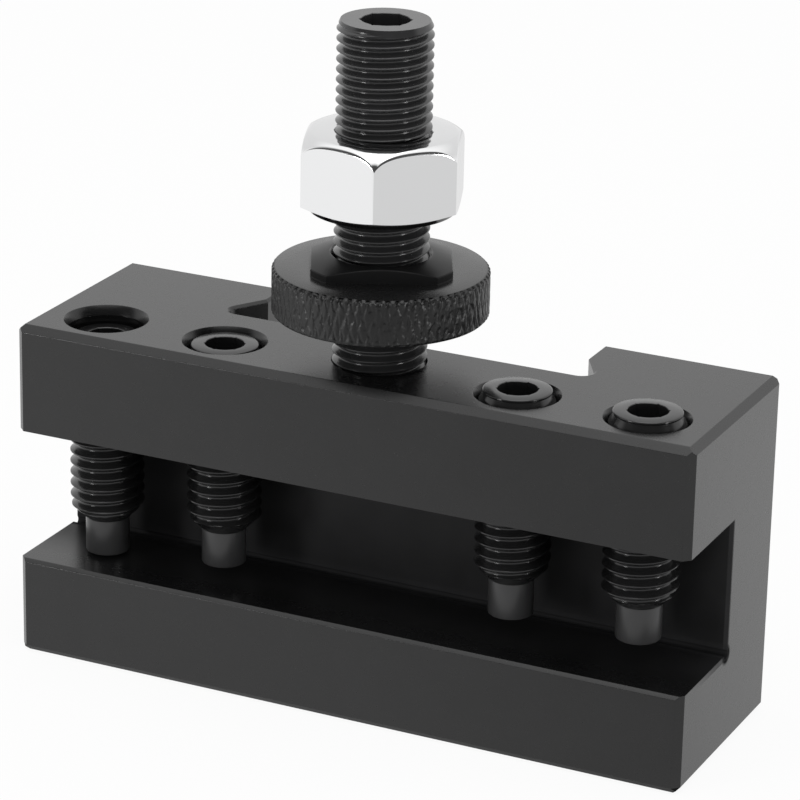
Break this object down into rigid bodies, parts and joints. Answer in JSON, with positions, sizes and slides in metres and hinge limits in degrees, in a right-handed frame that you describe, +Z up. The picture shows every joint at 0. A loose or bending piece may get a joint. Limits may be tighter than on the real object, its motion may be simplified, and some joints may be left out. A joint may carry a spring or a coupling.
{
  "type": "turning tool holder",
  "caption": "Steel block with a tool channel under clamp screws, a dovetail slot at the back and a threaded stud carrying a knurled height wheel and lock nut.",
  "frame": {"origin": "centre of the block's base, under the middle of its length and of its depth", "axes": "+X along the tool channel, +Y from the open front of the channel to the dovetail slot, +Z up along the stud and the screws"},
  "size_m": [0.0762, 0.0268, 0.0731],
  "materials": {
    "blackened_block": "fine-ground steel with a satin black oxide",
    "blackened_stud": "threaded steel with an oiled black oxide",
    "blackened_wheel": "turned and knurled steel with a satin black oxide",
    "zinc_nut": "bright zinc plating on steel",
    "blackened_screw": "threaded steel with an oiled black oxide"
  },
  "bodies": {
    "holder": {"holder_body": "blackened_block", "height_stud": "blackened_stud"},
    "wheel": {"thumb_wheel": "blackened_wheel"},
    "nut": {"lock_nut": "zinc_nut"},
    "screw_1": {"clamp_screw_1": "blackened_screw"},
    "screw_2": {"clamp_screw_2": "blackened_screw"},
    "screw_3": {"clamp_screw_3": "blackened_screw"},
    "screw_4": {"clamp_screw_4": "blackened_screw"}
  },
  "joints": [
    {"name": "wheel_height", "type": "slide", "parent": "holder", "child": "wheel", "axis": [0, 0, 1], "range_m": [-0.005, 0.0044]},
    {"name": "nut_height", "type": "slide", "parent": "holder", "child": "nut", "axis": [0, 0, 1], "range_m": [-0.0044, 0.0114]},
    {"name": "screw_1_clamp", "type": "slide", "parent": "holder", "child": "screw_1", "axis": [0, 0, 1], "range_m": [-0.0002, 0.0142]},
    {"name": "screw_2_clamp", "type": "slide", "parent": "holder", "child": "screw_2", "axis": [0, 0, 1], "range_m": [-0.0016, 0.0128]},
    {"name": "screw_3_clamp", "type": "slide", "parent": "holder", "child": "screw_3", "axis": [0, 0, 1], "range_m": [-0.0025, 0.0119]},
    {"name": "screw_4_clamp", "type": "slide", "parent": "holder", "child": "screw_4", "axis": [0, 0, 1], "range_m": [-0.0027, 0.0117]}
  ]
}
